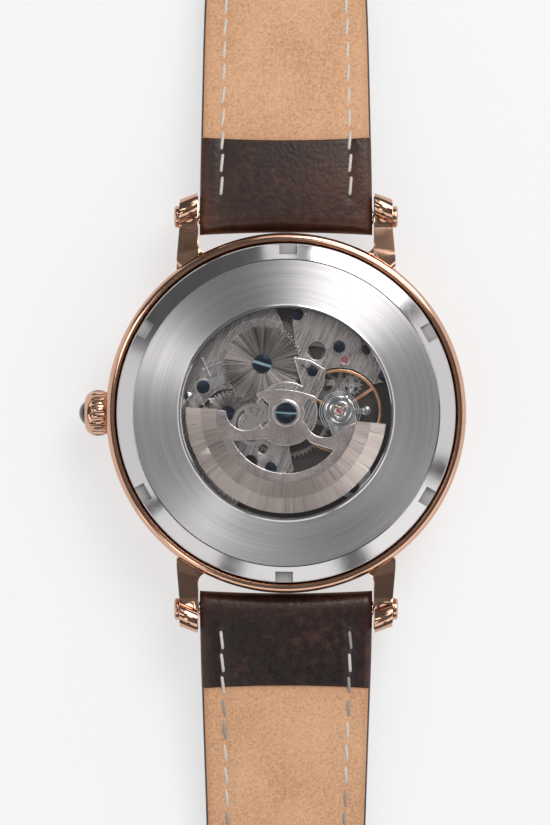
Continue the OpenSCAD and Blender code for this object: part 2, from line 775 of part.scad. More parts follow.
// ---- automatic winding ----
step_r = 8;
rotor_a0 = 176.7;
rotor_a1 = 353.6;
module sector(z, r, inner, h) {
    translate([0, 0, z]) linear_extrude(h) polygon(concat(
        arc([0, 0], r, rotor_a0, rotor_a1, 48), arc([0, 0], inner, rotor_a1, rotor_a0, 32)));
}
module rotor_carrier() {
    hub = [[-2.85, 2.5], [-1.5, 2.68], [0, 2.68], [1.7, 2.4], [3.3, 1.9]];
    color("#b5aea6") difference() {
        union() {
            translate([0, 0, rotor_z]) linear_extrude(rotor_t) polygon(concat(
                hub, arc([4.4, -0.6], 2.2, 112, 330, 16),
                arc([0, 0], step_r + 0.35, rotor_a1, rotor_a0, 40),
                arc([-4.6, 0.2], 2.2, 180, 418, 16)));
            disc([0, 0], rotor_z, 1.5, rotor_t + 0.12);
        }
        translate([0, 0, rotor_z - over]) linear_extrude(2) polygon(concat(
            arc([0, 0], 6.85, 208, 322, 32), [[2.6, -3.3]],
            arc([0, 0], 3.75, 310, 232, 12)));
        for (s = [[0, 180], [1, 0]]) translate([0, 0, rotor_z - over]) linear_extrude(2)
            polygon(concat(arc([0, 0], 3.2, s[1] - 32, s[1] + 32, 10),
                arc([0, 0], 2.1, s[1] + 26, s[1] - 26, 10)));
        disc([0, 0], rotor_z - over, 0.6, 2);
    }
}
module rotor_weight() {
    color("#a89e94") difference() {
        sector(weight_z, rotor_r, step_r, weight_t);
        sector(weight_z - over, step_r + 0.4, step_r - 1, rotor_z + rotor_t + over - weight_z);
        sector(weight_z + weight_t - band_step, band_r, step_r - 1, 1);
    }
}
module rotor_gear() {
    color(plated) difference() {
        union() {
            gear([0, 0], 8.2, 0.25, rotor_gear_n, auto_mod, reverser_dir);
            disc([0, 0], 8.2, 1.2, rotor_z - 8.2);
        }
        disc([0, 0], 7, 0.6, 3);
    }
}
module rotor_screw() {
    color(blued) difference() {
        disc([0, 0], rotor_z + rotor_t + 0.12, 1.2, 0.28);
        translate([0, 0, rotor_z + rotor_t + 0.42]) rotate(-3) cube([3, 0.18, 0.3], center = true);
    }
}
module reverser_wheel() {
    color(plated) {
        train_wheel(reverser_at, 8.2, 0.2, reverser_n, auto_mod,
            meshed(reverser_n, reverser_dir), 4, 0.9);
        disc(reverser_at, auto_z + auto_t + 0.02, 0.5, 0.2);
    }
}

// ---- strap and buckle ----
strap_end_r = 1.8;
bar_bore_r = 0.95;
strap_t = 2.2;
strap_t_lug = 3.5;
droop_len = 46;
strap_floor_6 = 0;
strap_floor_12 = 0.6;
function ease(u) = u < 0 ? 0 : u > 1 ? 1 : u * u * (3 - 2 * u);
function strap_thick(s) = strap_t + (strap_t_lug - strap_t) * (1 - ease(s / 26));
function strap_mid(s, floor_z) =
    floor_z + strap_t / 2 + (bar_z - floor_z - strap_t / 2) * (1 - ease(s / droop_len));
// Side view of a strap as (distance from the bar, height), with a round end at the bar
module strap_side(length, floor_z) {
    steps = [for (s = [2:4:droop_len + 2]) s];
    low = [for (s = steps) [s, strap_mid(s, floor_z) - strap_thick(s) / 2]];
    high = [for (i = [len(steps) - 1:-1:0])
        [steps[i], strap_mid(steps[i], floor_z) + strap_thick(steps[i]) / 2]];
    rotate([90, 0, 90]) translate([0, 0, -lug_in]) linear_extrude(lug_gap) polygon(concat(
        low, [[length, floor_z], [length, floor_z + strap_t]], high,
        arc([0, bar_z], strap_end_r, 75, 285, 16)));
}
module strap_12() {
    wide = [[-3, 9.85], [2, 9.85], [24, 9.4], [47, strap_w_end / 2 + 0.05], [90, strap_w_end / 2]];
    loop_r = 1.25;
    color(leather) translate([0, bar_y, 0]) difference() {
        union() {
            intersection() {
                strap_side(strap_12_len, strap_floor_12);
                linear_extrude(12) polygon(concat(
                    [for (p = wide) [p[1], p[0]]],
                    [for (i = [len(wide) - 1:-1:0]) [-wide[i][1], wide[i][0]]]));
            }
            along_x(-strap_w_end / 2, strap_12_len, buckle_z) cylinder(r = loop_r, h = strap_w_end);
        }
        along_x(-12, 0, bar_z) cylinder(r = bar_bore_r, h = 24);
        along_x(-12, strap_12_len, buckle_z) cylinder(r = 0.65, h = 24);
        translate([-1.4, strap_12_len - 5.5, -1]) cube([2.8, 9, 6]);
    }
}
module strap_6() {
    hole_pitch = 7;
    wide = [[-3, 9.85], [2, 9.85], [24, 9.15], [57, strap_w_end / 2 + 0.05],
        [strap_6_len - 8, strap_w_end / 2]];
    tip = arc([0, strap_6_len - 8], 8, 0, 90, 10);
    color(leather) mirror([0, 1, 0]) translate([0, bar_y, 0]) difference() {
        intersection() {
            strap_side(strap_6_len, strap_floor_6);
            linear_extrude(12) polygon(concat(
                [for (p = wide) [p[1], p[0]]], tip,
                [for (i = [len(tip) - 2:-1:0]) [-tip[i][0], tip[i][1]]],
                [for (i = [len(wide) - 1:-1:0]) [-wide[i][1], wide[i][0]]]));
        }
        along_x(-12, 0, bar_z) cylinder(r = bar_bore_r, h = 24);
        for (i = [0:6]) translate([0, strap_6_len - 26 - hole_pitch * i, -1])
            cylinder(r = 0.95, h = 6);
    }
}
buckle_z = strap_floor_12 + strap_t / 2 + 0.15;
buckle_y = bar_y + strap_12_len;
module buckle_bar() {
    color(steel) along_x(-9.6, buckle_y, buckle_z) cylinder(r = 0.6, h = 19.2);
}
module keeper(y, w, clear_t) {
    wall = 0.55;
    half = strap_w_end / 2 + 0.35;
    translate([-half - wall, y - w / 2, 0]) difference() {
        cube([2 * half + 2 * wall, w, strap_floor_12 + strap_t + wall + clear_t]);
        translate([wall, -1, wall - 0.2])
            cube([2 * half, w + 2, strap_t + clear_t + 0.25]);
    }
}
module fixed_keeper() {
    color(leather) keeper(buckle_y - 10, 5, 2.2);
}
module free_keeper() {
    color(leather) keeper(buckle_y - 17.5, 5, 2.2);
}
module buckle_frame() {
    arm_w = 1.9;
    half = strap_w_end / 2 + 0.4;
    reach = 12;
    color(rose) difference() {
        union() {
            for (s = [-1, 1]) translate([s * (half + arm_w / 2) - arm_w / 2, buckle_y, 0.95])
                cube([arm_w, reach, 1.7]);
            for (s = [-1, 1]) along_x(s * (half + arm_w / 2) - arm_w / 2, buckle_y, buckle_z)
                cylinder(r = 1.3, h = arm_w);
            translate([-half - arm_w, buckle_y + reach - 0.2, 0.95])
                cube([2 * half + 2 * arm_w, 2.2, 1.7]);
        }
        along_x(-20, buckle_y, buckle_z) cylinder(r = 0.65, h = 40);
        translate([-0.9, buckle_y + reach - 1, 0]) cube([1.8, 4, 1.15]);
    }
}
module buckle_tongue() {
    color(rose) difference() {
        union() {
            along_x(-1, buckle_y, buckle_z) cylinder(r = 1.2, h = 2);
            translate([-0.7, buckle_y + 0.4, 0]) rotate([90, 0, 90]) linear_extrude(1.4) polygon([
                [0, buckle_z - 1.1], [4, 0.75], [9, 0.2], [13.9, 0.2], [14.1, 0.5],
                [13.9, 0.95], [9, 1], [4, 1.7], [0, buckle_z + 0.6]
            ]);
        }
        along_x(-3, buckle_y, buckle_z) cylinder(r = 0.65, h = 6);
    }
}

case_middle();
bezel();
front_crystal();
gaskets();
case_back();
back_window();
movement_holder();
crown_tube();
strap_bars();
bar_screws();
dial();
hour_markers();
main_plate();
barrel_bridge();
train_bridge();
balance_cock();
pallet_bridge();
automatic_bridge();
jewels();
movement_screws();
shock_setting();
regulator();
hairspring();
click_spring();
ratchet_wheel();
ratchet_screw();
barrel_arbor();
barrel();
mainspring();
crown_wheel();
center_wheel();
cannon_pinion();
minute_hand();
third_wheel();
fourth_wheel();
escape_wheel();
minute_wheel();
hour_wheel();
hour_hand();
pallet_fork();
balance_wheel();
balance_staff();
rotor_carrier();
rotor_weight();
rotor_gear();
rotor_screw();
reverser_wheel();
click();
winding_pinion();
sliding_pinion();
winding_stem();
crown();
cabochon();
strap_12();
buckle_bar();
fixed_keeper();
free_keeper();
buckle_frame();
buckle_tongue();
strap_6();
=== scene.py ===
"""Looks of a skeleton wristwatch that lies on its crystal with its case back up."""

import math
import random

import bmesh
import bpy
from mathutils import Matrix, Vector


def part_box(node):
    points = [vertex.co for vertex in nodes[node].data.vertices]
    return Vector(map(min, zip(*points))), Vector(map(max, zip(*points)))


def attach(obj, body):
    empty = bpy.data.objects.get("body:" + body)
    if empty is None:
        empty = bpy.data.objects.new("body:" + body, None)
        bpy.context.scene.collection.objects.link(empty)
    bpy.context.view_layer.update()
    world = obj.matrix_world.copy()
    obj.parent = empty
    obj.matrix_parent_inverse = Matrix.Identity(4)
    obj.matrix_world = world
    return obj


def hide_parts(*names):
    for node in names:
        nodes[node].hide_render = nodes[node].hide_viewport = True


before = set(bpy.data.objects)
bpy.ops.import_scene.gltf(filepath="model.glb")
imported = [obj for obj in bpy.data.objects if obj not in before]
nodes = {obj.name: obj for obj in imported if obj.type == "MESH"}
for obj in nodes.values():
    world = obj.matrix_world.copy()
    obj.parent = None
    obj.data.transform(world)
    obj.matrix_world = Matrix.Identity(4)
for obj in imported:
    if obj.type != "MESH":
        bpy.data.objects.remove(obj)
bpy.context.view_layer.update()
MM = 0.001

# ---- sizes of the strap, in millimetres, as the frame has them ----
BAR_Y = 22.4
BAR_Z = 5.6
STRAP_END_R = 1.8
STRAP_T = 2.2
STRAP_T_LUG = 3.5
LUG_HALF_W = 9.85
DROOP_LEN = 46
LINING_T = 0.7
LINING_SINK = 0.3
TAB_END = 8.7
TAB_BOW = 0.35
FOLD_CURL = 0.3
EDGE_R = 0.7
GROOVE_DEPTH = 0.14
GROOVE_HALF_W = 0.45
STITCH_INSET = 2.45
STITCH_PITCH = 2.6
STITCH_START = 2.2
STITCH_R = 0.18
BUCKLE_END_R = 1.3
BUCKLE_FOLD = 12
LUG_TAPER_LEN = 26
PADDING = 0.3
EDGE_COLUMNS = (0, 0.06, 0.18, 0.36, 0.6, 1.0, 1.5, 1.9, 2.2, 2.45, 2.7, 3.0, 3.4)
HOLE_COUNT = 7
HOLE_PITCH = 7
HOLE_R = 0.95
FIRST_HOLE = 26
TONGUE_SLOT_Y = BAR_Y + 69.5
TONGUE_SLOT_R = 1.4

# ---- places on the case back and in the movement, in millimetres ----
WINDOW_R = 12.3
BRUSHED_R = 17.38
NOTCH_R = 17.9
BACK_RIM_R = 19.2
NOTCH_FLOOR_Z = 9.2
BAND_Z = 9.2
RATCHET_SLOT_Z = 7.85
ROTOR_SLOT_Z = 9.15
STEEL_SCREW = (-11.1, 1.9)
BALANCE = (6.1, 0.2)
RATCHET = (-2.7, 5.6)
CROWN_WHEEL = (-6.6, 0)


# ---- node helpers ----
def new_material(name, base=(0.5, 0.5, 0.5), metallic=0.0, roughness=0.5, **sockets):
    """A material with a Principled shader whose plain values are set on its own sockets."""
    material = bpy.data.materials.new(name)
    material.use_nodes = True
    tree = material.node_tree
    shader = tree.nodes["Principled BSDF"]
    shader.inputs["Base Color"].default_value = (*base, 1)
    shader.inputs["Metallic"].default_value = metallic
    shader.inputs["Roughness"].default_value = roughness
    for key, value in sockets.items():
        shader.inputs[key.replace("_", " ")].default_value = value
    return material, tree, shader


def add(tree, kind, inputs=None, **settings):
    """A node with its settings, and its inputs as plain values or as sockets to link from."""
    node = tree.nodes.new(kind)
    for key, value in settings.items():
        setattr(node, key, value)
    for key, value in (inputs or {}).items():
        if isinstance(value, bpy.types.NodeSocket):
            tree.links.new(value, node.inputs[key])
        else:
            node.inputs[key].default_value = value
    return node


def math_node(tree, operation, a, b=0.0):
    return add(tree, "ShaderNodeMath", {0: a, 1: b}, operation=operation).outputs[0]


def place(tree, center=(0, 0), turn=0.0, scale=(1, 1, 1)):
    """Object coordinates from a centre in millimetres, turned by degrees, then scaled."""
    coords = add(tree, "ShaderNodeTexCoord").outputs["Object"]
    moved = add(tree, "ShaderNodeVectorMath",
                {0: coords, 1: (center[0] * MM, center[1] * MM, 0)}, operation="SUBTRACT")
    turned = add(tree, "ShaderNodeVectorRotate",
                 {"Vector": moved.outputs[0], "Angle": -math.radians(turn)}, rotation_type="Z_AXIS")
    return add(tree, "ShaderNodeVectorMath",
               {0: turned.outputs[0], 1: scale}, operation="MULTIPLY").outputs[0]


def polar(tree, center=(0, 0)):
    """Radius in metres, angle in radians and height in metres round a vertical axis."""
    parts = add(tree, "ShaderNodeSeparateXYZ", {0: place(tree, center)})
    x, y, z = parts.outputs
    radius = math_node(tree, "SQRT", math_node(
        tree, "ADD", math_node(tree, "MULTIPLY", x, x), math_node(tree, "MULTIPLY", y, y)))
    return radius, math_node(tree, "ARCTAN2", y, x), z


def polar_point(tree, center, radius_scale, angle_scale, height_scale=0.0):
    """A texture point that runs evenly round a circle, with no seam where the angle wraps."""
    radius, angle, height = polar(tree, center)
    return add(tree, "ShaderNodeCombineXYZ", {
        0: math_node(tree, "MULTIPLY", math_node(tree, "COSINE", angle), angle_scale),
        1: math_node(tree, "MULTIPLY", math_node(tree, "SINE", angle), angle_scale),
        2: math_node(tree, "ADD", math_node(tree, "MULTIPLY", radius, radius_scale),
                     math_node(tree, "MULTIPLY", height, height_scale)),
    }).outputs[0]


def noise(tree, point, scale=1.0, detail=2.0, rough=0.5, distortion=0.0):
    """Smooth random values, mostly between 0.3 and 0.7."""
    return add(tree, "ShaderNodeTexNoise", {
        "Vector": point, "Scale": scale, "Detail": detail, "Roughness": rough,
        "Distortion": distortion,
    }).outputs["Fac"]


def spread(tree, value, low, high, start=0.3, end=0.7):
    """Maps a noise value from start..end onto low..high."""
    return add(tree, "ShaderNodeMapRange", {
        "Value": value, "From Min": start, "From Max": end, "To Min": low, "To Max": high,
    }).outputs[0]


def ramp(tree, value, *stops):
    """A colour ramp from (position, (r, g, b)) stops."""
    node = add(tree, "ShaderNodeValToRGB", {0: value})
    elements = node.color_ramp.elements
    while len(elements) < len(stops):
        elements.new(0.5)
    for element, (position, color) in zip(elements, stops):
        element.position = position
        element.color = (*color, 1)
    return node.outputs[0]


def mix(tree, factor, a, b):
    return add(tree, "ShaderNodeMixRGB", {0: factor, 1: a, 2: b}).outputs[0]


def bump(tree, shader, height, strength, depth_mm):
    """Adds relief to a shader, on top of any relief that it has."""
    node = add(tree, "ShaderNodeBump",
               {"Height": height, "Strength": strength, "Distance": depth_mm * MM})
    previous = shader.inputs["Normal"].links
    if previous:
        tree.links.new(previous[0].from_socket, node.inputs["Normal"])
    tree.links.new(node.outputs[0], shader.inputs["Normal"])


def per_mm(size):
    """Texture scale that makes features of a size in millimetres."""
    return 1 / (size * MM)


def shade(color, factor):
    return tuple(channel * factor for channel in color)


# ---- metals ----
def polished(name, color, roughness=0.08, haze=0.12):
    """Mirror-polished metal with faint hairlines and smudges."""
    material, tree, shader = new_material(name, color, 1.0, roughness)
    smudge = noise(tree, place(tree), per_mm(3.0), 4)
    hair = noise(tree, place(tree, turn=35, scale=(0.1, 1, 1)), per_mm(0.12), 2)
    tree.links.new(spread(tree, smudge, roughness, roughness + haze), shader.inputs["Roughness"])
    tree.links.new(mix(tree, spread(tree, smudge, 0.0, 1.0), (*shade(color, 0.93), 1), (*color, 1)),
                   shader.inputs["Base Color"])
    bump(tree, shader, hair, 0.05, 0.01)
    return material


def grained(name, color, turn, roughness=0.27, strength=0.7, contrast=0.4):
    """Straight-grained metal: fine brushed lines at an angle in degrees."""
    material, tree, shader = new_material(name, color, 1.0, roughness)
    fine = noise(tree, place(tree, turn=turn, scale=(0.015, 1, 1)), per_mm(0.05), 2)
    broad = noise(tree, place(tree, turn=turn, scale=(0.02, 1, 1)), per_mm(0.16), 3)
    lines = mix(tree, 0.3, fine, broad)
    tree.links.new(ramp(tree, lines, (0.3, shade(color, 1 - contrast)),
                        (0.7, shade(color, 1 + contrast))), shader.inputs["Base Color"])
    tree.links.new(spread(tree, broad, roughness - 0.08, roughness + 0.1),
                   shader.inputs["Roughness"])
    bump(tree, shader, lines, strength, 0.03)
    return material


def tangent_round(tree, shader, center):
    """Turns a metal's stretched highlights to run round a centre, across radial brushing."""
    across = add(tree, "ShaderNodeVectorMath", {0: (0, 0, 1), 1: place(tree, center)},
                 operation="CROSS_PRODUCT").outputs[0]
    world = add(tree, "ShaderNodeVectorTransform", {0: across}, vector_type="VECTOR",
                convert_from="OBJECT", convert_to="WORLD").outputs[0]
    tree.links.new(world, shader.inputs["Tangent"])


def rayed(name, color, center, rays, roughness, contrast, strength, low=0.32):
    """Metal brushed along rays from a centre, as a sunburst; low is where its dark rays end."""
    material, tree, shader = new_material(name, color, 1.0, roughness, Anisotropic=0.75)
    tangent_round(tree, shader, center)
    fine = noise(tree, polar_point(tree, center, per_mm(14.0), rays), 1.0, 3, 0.7)
    broad = noise(tree, polar_point(tree, center, per_mm(60.0), rays / 7), 1.0, 2)
    lines = mix(tree, 0.4, fine, broad)
    tree.links.new(ramp(tree, lines, (low, shade(color, 1 - contrast)),
                        (low + 0.36, shade(color, 1 + contrast))), shader.inputs["Base Color"])
    tree.links.new(spread(tree, fine, roughness - 0.1, roughness + 0.12),
                   shader.inputs["Roughness"])
    bump(tree, shader, lines, strength, 0.06)
    return material


def turned(name, color, center=(0, 0), roughness=0.3, contrast=0.1, strength=0.3, anisotropic=0.0):
    """Metal turned on a lathe: fine rings round a centre."""
    material, tree, shader = new_material(name, color, 1.0, roughness, Anisotropic=anisotropic,
                                          Anisotropic_Rotation=0.25)
    fine = noise(tree, polar_point(tree, center, per_mm(0.13), 1.2, per_mm(0.13)), 1.0, 2)
    broad = noise(tree, polar_point(tree, center, per_mm(0.6), 0.8, per_mm(0.6)), 1.0, 2)
    lines = mix(tree, 0.45, fine, broad)
    tree.links.new(ramp(tree, lines, (0.3, shade(color, 1 - contrast)),
                        (0.7, shade(color, 1 + contrast))), shader.inputs["Base Color"])
    bump(tree, shader, lines, strength, 0.02)
    if anisotropic:
        tangent = add(tree, "ShaderNodeTangent", direction_type="RADIAL", axis="Z")
        tree.links.new(tangent.outputs[0], shader.inputs["Tangent"])
    return material


def frosted(name, color, roughness=0.42):
    """Sandblasted metal with a fine sparkle."""
    material, tree, shader = new_material(name, color, 1.0, roughness)
    grit = noise(tree, place(tree), per_mm(0.12), 3, 0.7)
    cloud = noise(tree, place(tree), per_mm(1.5), 3)
    tree.links.new(ramp(tree, mix(tree, 0.3, grit, cloud),
                        (0.36, shade(color, 0.6)), (0.64, shade(color, 1.4))),
                   shader.inputs["Base Color"])
    bump(tree, shader, grit, 0.6, 0.03)
    return material


STEEL = (0.62, 0.60, 0.605)
RHODIUM = (0.38, 0.34, 0.325)
ROSE = (0.66, 0.395, 0.28)


def glass():
    """Coated glass that lets the lamps' light through to what is behind it."""
    material, tree, shader = new_material(
        "crystal_glass", (0.97, 0.985, 1.0), 0.0, 0.0, IOR=1.45, Transmission_Weight=1.0,
        Specular_IOR_Level=0.2)
    clear = add(tree, "ShaderNodeBsdfTransparent")
    path = add(tree, "ShaderNodeLightPath")
    both = add(tree, "ShaderNodeMixShader", {
        0: path.outputs["Is Shadow Ray"], 1: shader.outputs[0], 2: clear.outputs[0]})
    tree.links.new(both.outputs[0], tree.nodes["Material Output"].inputs["Surface"])
    return material


def gem(name, color):
    """Polished stone with a slightly cloudy colour."""
    material, tree, shader = new_material(name, color, 0.0, 0.03, Coat_Weight=1.0,
                                          Coat_Roughness=0.02)
    cloud = noise(tree, place(tree), per_mm(0.8), 3)
    tree.links.new(ramp(tree, cloud, (0.3, shade(color, 0.7)), (0.7, shade(color, 1.3))),
                   shader.inputs["Base Color"])
    return material


def moulded(name, color, roughness, grain_mm=0.15):
    """Moulded plastic, rubber or lacquer with a fine grain."""
    material, tree, shader = new_material(name, color, 0.0, roughness)
    grain = noise(tree, place(tree), per_mm(grain_mm), 3)
    tree.links.new(ramp(tree, grain, (0.3, shade(color, 0.85)), (0.7, shade(color, 1.15))),
                   shader.inputs["Base Color"])
    tree.links.new(spread(tree, grain, roughness - 0.08, roughness + 0.08),
                   shader.inputs["Roughness"])
    bump(tree, shader, grain, 0.2, 0.02)
    return material


# ---- leather, lining and thread ----
def leather_outer():
    """Dark brown pull-up leather: fine pores, soft folds, redder where it is rubbed and stretched,
    and lighter where painted sheen lies on the upper strap.
    """
    dark, mid, wear_and_sheen = (0.006, 0.0022, 0.0022), (0.017, 0.0055, 0.0045), (0.14, 0.048, 0.022)
    material, tree, shader = new_material("strap_leather", mid, 0.0, 0.36, Specular_IOR_Level=0.5)
    cloud = noise(tree, place(tree), per_mm(7.0), 4, 0.6)
    mottle = noise(tree, place(tree), per_mm(0.9), 4, 0.65)
    blotch = mix(tree, 0.5, cloud, mottle)
    base = ramp(tree, blotch, (0.36, dark), (0.54, mid), (0.85, wear_and_sheen))
    # Read here: rubbing along the edges and fold, and on the upper strap painted sheen, a lighter
    # tone and a painted highlight
    edge = add(tree, "ShaderNodeAttribute", attribute_name="wear_and_sheen").outputs["Fac"]
    wear_and_sheen_here = math_node(tree, "MULTIPLY", edge, spread(tree, mottle, 0.5, 1.1))
    tree.links.new(mix(tree, wear_and_sheen_here, base, (*wear_and_sheen, 1)), shader.inputs["Base Color"])
    pores = add(tree, "ShaderNodeTexVoronoi", {"Vector": place(tree), "Scale": per_mm(0.42)},
                feature="SMOOTH_F1").outputs["Distance"]
    folds = noise(tree, place(tree, turn=90, scale=(1.6, 0.6, 1)), per_mm(1.1), 4, 0.6, 0.4)
    tree.links.new(spread(tree, mottle, 0.3, 0.42), shader.inputs["Roughness"])
    bump(tree, shader, pores, 0.35, 0.1)
    bump(tree, shader, folds, 0.35, 0.08)
    return material


def leather_lining():
    """Tan suede-like lining: short nap, pale specks and a slightly soiled edge."""
    tan, pale, soiled = (0.76, 0.425, 0.24), (0.87, 0.52, 0.31), (0.55, 0.285, 0.145)
    material, tree, shader = new_material("strap_lining", tan, 0.0, 0.85, Sheen_Weight=0.25,
                                          Sheen_Roughness=0.5)
    nap = noise(tree, place(tree), per_mm(0.3), 3, 0.75)
    cloud = noise(tree, place(tree, scale=(1, 0.6, 1)), per_mm(6.0), 4, 0.55)
    base = ramp(tree, mix(tree, 0.3, nap, cloud), (0.36, soiled), (0.5, tan), (0.64, pale))
    edge = add(tree, "ShaderNodeAttribute", attribute_name="wear_and_sheen").outputs["Fac"]
    tree.links.new(mix(tree, edge, base, (*soiled, 1)), shader.inputs["Base Color"])
    bump(tree, shader, nap, 0.5, 0.05)
    return material


def thread_material(name, color):
    """Twisted thread: slanting strands with a faint sheen."""
    material, tree, shader = new_material(name, color, 0.0, 0.6, Sheen_Weight=0.2)
    twist = add(tree, "ShaderNodeTexWave", {
        "Vector": place(tree, turn=40), "Scale": per_mm(0.9), "Distortion": 1.5, "Detail": 2.0,
    }).outputs["Fac"]
    tree.links.new(ramp(tree, twist, (0.0, shade(color, 0.75)), (1.0, color)),
                   shader.inputs["Base Color"])
    bump(tree, shader, twist, 0.4, 0.03)
    return material


# ---- the materials of the frame's nodes ----
rose_gold = polished("rose_gold", ROSE, 0.07, 0.07)
# Lighter copy of the rose gold for bevel faces: a painted highlight along the edges
rose_painted_highlight = polished("rose_painted_highlight", (0.88, 0.62, 0.48), 0.12, 0.05)
# Light blue for the floors of the blued screws' slots: a painted highlight
slot_painted_highlight = polished("slot_painted_highlight", (0.30, 0.46, 0.52), 0.3, 0.1)
back_brushed = turned("case_back_brushed", STEEL, roughness=0.3, contrast=0.16, strength=0.5,
                      anisotropic=0.85)
steel_polished = polished("steel_polished", STEEL, 0.1, 0.08)
steel_matt = turned("steel_matt", (0.50, 0.49, 0.48), roughness=0.5, contrast=0.1)
# Near-black copy of the case back's steel for the notch walls: painted shade
steel_painted_shade = turned("steel_painted_shade", (0.08, 0.078, 0.076), roughness=0.5, contrast=0.1)
plate_grained = grained("plate_grained", RHODIUM, 66)
# The main plate is made very dark so the gaps down to it read as shade: painted shade
plate_turned_painted_shade = turned("plate_turned_painted_shade", (0.10, 0.088, 0.082), roughness=0.35)
# Lighter copy of the movement's metal for bevel faces: a painted highlight along the edges
edge_painted_highlight = polished("edge_painted_highlight", (0.74, 0.71, 0.68), 0.22, 0.06)
blued = polished("blued_steel", (0.022, 0.033, 0.052), 0.2, 0.04)
copper = turned("copper_rim", (0.64, 0.34, 0.20), BALANCE, 0.25, 0.12)
gear_plated = turned("gear_plated", (0.24, 0.21, 0.19), roughness=0.3, contrast=0.2)
spring_steel = polished("spring_steel", (0.80, 0.80, 0.81), 0.25, 0.1)
web_frosted = frosted("rotor_web_frosted", (0.26, 0.222, 0.21))
weight_rayed = rayed("rotor_weight_rayed", (0.5, 0.42, 0.38), (0, 0), 100, 0.34, 0.2, 0.3)
band_rayed = rayed("rotor_band_rayed", (0.38, 0.315, 0.285), (0, 0), 90, 0.34, 0.22, 0.3)
ratchet_rayed = rayed("ratchet_rayed", (0.27, 0.235, 0.22), RATCHET, 26, 0.28, 0.8, 0.8, low=0.38)
crown_wheel_rayed = rayed("crown_wheel_rayed", (0.2, 0.175, 0.165), CROWN_WHEEL, 20, 0.3, 0.6, 0.8,
                          low=0.36)
wheel_turned = turned("wheel_steel", (0.40, 0.38, 0.36), roughness=0.28, contrast=0.2)
crystal = glass()
rubber = moulded("gasket_rubber", (0.012, 0.012, 0.012), 0.6)
# Moulded plastic for the movement holder, made dark as painted shade in the ring between the
# window's lip and the movement
plastic = moulded("holder_plastic", (0.075, 0.07, 0.068), 0.55)
ruby = gem("ruby", (0.36, 0.07, 0.08))
onyx = gem("onyx", (0.030, 0.010, 0.014))
dial_white = moulded("dial_white", (0.66, 0.65, 0.62), 0.35, 0.05)
cock_smooth = polished("cock_smooth", (0.34, 0.34, 0.34), 0.25, 0.1)

FINISH = {
    "case_middle": rose_gold, "bezel": rose_gold, "bar_screws": rose_gold,
    "hour_markers": rose_gold, "minute_hand": rose_gold, "hour_hand": rose_gold, "crown": rose_gold,
    "buckle_frame": rose_gold, "buckle_tongue": rose_gold,
    "case_back": back_brushed, "front_crystal": crystal, "back_window": crystal,
    "gaskets": rubber, "movement_holder": plastic, "crown_tube": steel_polished,
    "strap_bars": steel_polished, "buckle_bar": steel_polished, "dial": dial_white,
    "main_plate": plate_turned_painted_shade, "barrel_bridge": plate_grained, "train_bridge": plate_grained,
    "balance_cock": cock_smooth, "pallet_bridge": plate_grained, "automatic_bridge": plate_grained,
    "jewels": ruby, "movement_screws": blued, "ratchet_screw": blued, "rotor_screw": blued,
    "shock_setting": steel_polished, "regulator": steel_polished, "hairspring": spring_steel,
    "click_spring": spring_steel, "mainspring": spring_steel, "ratchet_wheel": ratchet_rayed,
    "barrel_arbor": steel_polished, "barrel": gear_plated, "crown_wheel": crown_wheel_rayed,
    "center_wheel": gear_plated, "third_wheel": gear_plated, "fourth_wheel": gear_plated,
    "minute_wheel": gear_plated, "hour_wheel": gear_plated, "cannon_pinion": wheel_turned,
    "escape_wheel": wheel_turned, "pallet_fork": wheel_turned, "balance_wheel": copper,
    "balance_staff": steel_polished, "rotor_carrier": web_frosted, "rotor_weight": weight_rayed,
    "rotor_gear": wheel_turned, "reverser_wheel": wheel_turned, "click": wheel_turned,
    "winding_pinion": wheel_turned, "sliding_pinion": wheel_turned, "winding_stem": steel_polished,
    "cabochon": onyx,
}
# Width in millimetres of the bevel along each node's edges; on some nodes the bevel faces carry a
# painted highlight
BEVEL = {
    "case_middle": 0.12, "bezel": 0.12, "bar_screws": 0.06, "crown": 0.05,
    "buckle_frame": 0.3, "buckle_tongue": 0.12, "hour_markers": 0.05, "minute_hand": 0.05,
    "hour_hand": 0.05, "barrel_bridge": 0.12, "train_bridge": 0.12, "automatic_bridge": 0.12,
    "balance_cock": 0.1, "pallet_bridge": 0.1, "rotor_carrier": 0.11, "rotor_weight": 0.07,
    "movement_screws": 0.05, "ratchet_screw": 0.05, "rotor_screw": 0.06, "click": 0.05,
    "shock_setting": 0.04, "regulator": 0.04, "ratchet_wheel": 0.03, "crown_wheel": 0.03,
    "balance_wheel": 0.04, "cabochon": 0.02,
}
# Nodes whose bevel faces get a lighter copy of their finish: a painted highlight along the edges
PAINTED_HIGHLIGHT_EDGES = dict.fromkeys((
    "barrel_bridge", "train_bridge", "automatic_bridge", "balance_cock", "pallet_bridge",
    "rotor_carrier", "rotor_weight", "ratchet_wheel", "crown_wheel", "click"), edge_painted_highlight)
PAINTED_HIGHLIGHT_EDGES.update(dict.fromkeys(("case_middle", "bezel", "bar_screws", "crown"), rose_painted_highlight))


